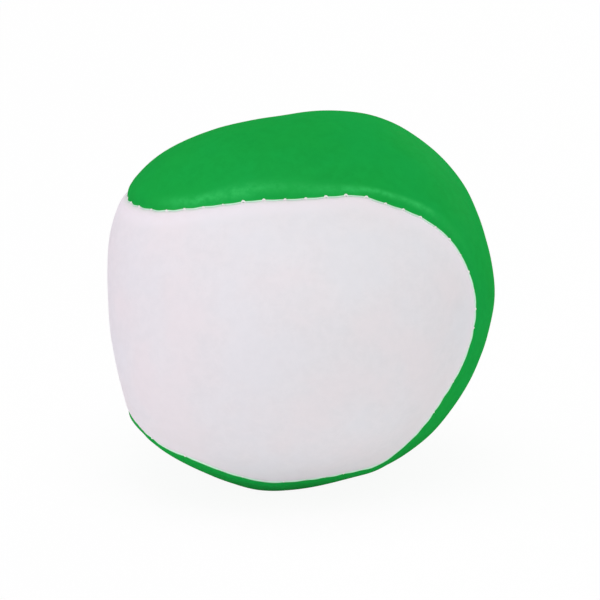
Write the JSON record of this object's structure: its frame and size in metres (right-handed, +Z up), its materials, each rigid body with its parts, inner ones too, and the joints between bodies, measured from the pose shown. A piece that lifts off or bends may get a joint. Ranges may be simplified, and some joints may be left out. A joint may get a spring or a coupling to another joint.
{
  "type": "footbag",
  "caption": "Soft round footbag of white and green leatherette panels joined along a wavy inside-out seam and filled with plastic pellets, for kicking and juggling.",
  "frame": {"origin": "on the table, under the middle of the bag's width and depth", "axes": "+X to the right, towards the green waist; -Y to the viewer, towards the front white lobe; +Z up, with the bag lying on its lower green lobe"},
  "size_m": [0.0548, 0.0524, 0.0518],
  "materials": {
    "white_leatherette": "smooth semi-matt",
    "green_leatherette": "smooth satin",
    "thread": "matt twisted polyester",
    "pellets": "milky, slightly waxy"
  },
  "bodies": {
    "root": {"white_panel": "white_leatherette", "green_panel": "green_leatherette", "seam_thread": "thread", "closing_thread": "thread", "pellet_bed": "pellets", "pellet_01": "pellets", "pellet_02": "pellets", "pellet_03": "pellets", "pellet_04": "pellets", "pellet_05": "pellets", "pellet_06": "pellets", "pellet_07": "pellets", "pellet_08": "pellets", "pellet_09": "pellets", "pellet_10": "pellets", "pellet_11": "pellets", "pellet_12": "pellets", "pellet_13": "pellets", "pellet_14": "pellets", "pellet_15": "pellets", "pellet_16": "pellets", "pellet_17": "pellets", "pellet_18": "pellets", "pellet_19": "pellets", "pellet_20": "pellets", "pellet_21": "pellets", "pellet_22": "pellets", "pellet_23": "pellets", "pellet_24": "pellets", "pellet_25": "pellets", "pellet_26": "pellets", "pellet_27": "pellets", "pellet_28": "pellets", "pellet_29": "pellets", "pellet_30": "pellets", "pellet_31": "pellets", "pellet_32": "pellets", "pellet_33": "pellets", "pellet_34": "pellets", "pellet_35": "pellets", "pellet_36": "pellets", "pellet_37": "pellets", "pellet_38": "pellets", "pellet_39": "pellets", "pellet_40": "pellets", "pellet_41": "pellets"}
  },
  "joints": []
}
